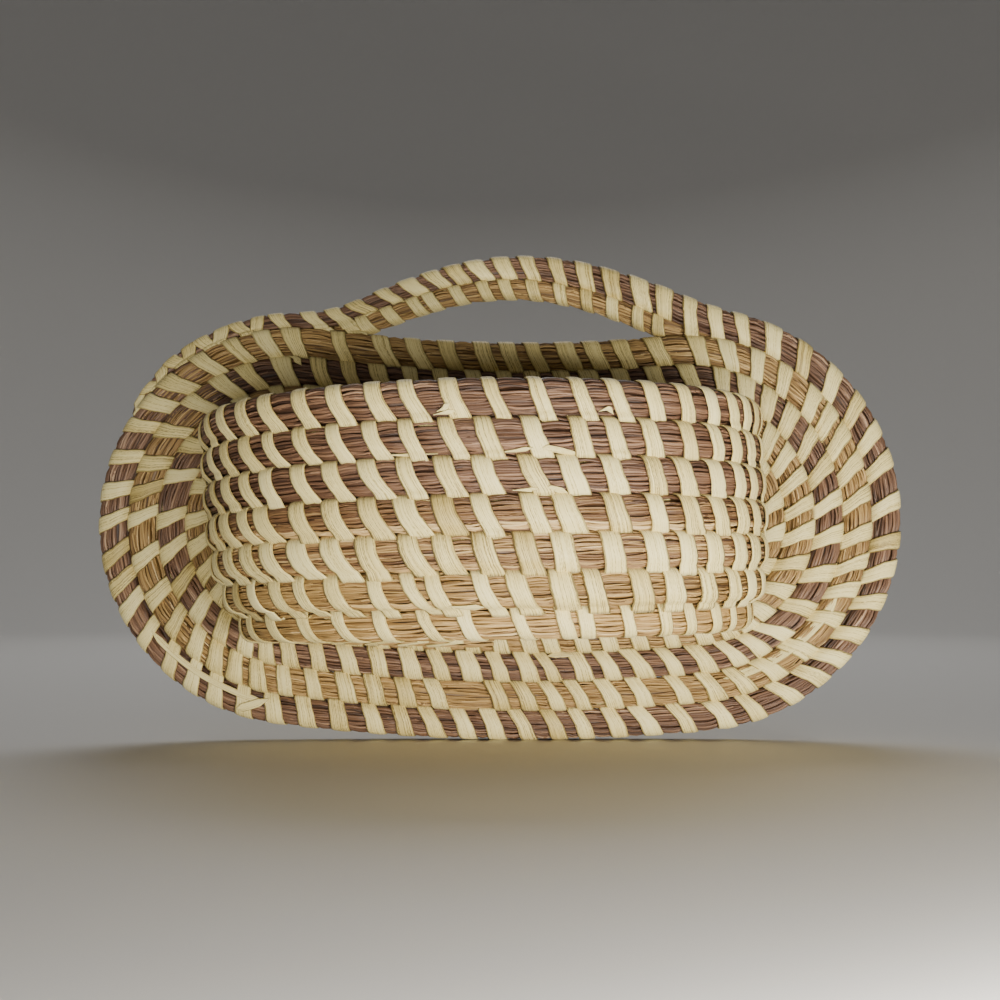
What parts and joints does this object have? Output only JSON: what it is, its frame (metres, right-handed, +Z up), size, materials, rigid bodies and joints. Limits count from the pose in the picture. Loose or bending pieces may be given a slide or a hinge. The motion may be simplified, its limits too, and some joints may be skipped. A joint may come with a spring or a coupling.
{
  "type": "coiled sweetgrass wall basket",
  "caption": "Wall basket of coiled grass: a flat oval mat whose outer row lifts off as a handle, with an oval coiled pocket on its front, open at the top.",
  "frame": {"origin": "the point under the middle of the handle where a peg or nail carries the basket, in the mat's middle plane", "axes": "+X to the right as seen from the front, +Y into the wall, +Z up towards the handle; the pocket's front faces -Y"},
  "size_m": [0.2203, 0.0688, 0.1336],
  "materials": {
    "sweetgrass": "dry golden grass stems, satin",
    "blended_grass": "golden grass mixed with brown needles, satin",
    "pine_needle": "red-brown long pine needles, slightly glossy",
    "palmetto": "cream palmetto leaf strips with fine veins, satin"
  },
  "bodies": {
    "root": {"mat_centre_coil": "sweetgrass", "mat_ring_0": "sweetgrass", "mat_ring_1": "sweetgrass", "mat_ring_2": "pine_needle", "mat_ring_3": "sweetgrass", "mat_rim_coil": "pine_needle", "handle_inner_row": "sweetgrass", "handle_binding": "palmetto", "pocket_coil_sweetgrass": "sweetgrass", "pocket_coil_blended": "blended_grass", "pocket_coil_pine_needle": "pine_needle", "pocket_floor": "sweetgrass"}
  },
  "joints": []
}
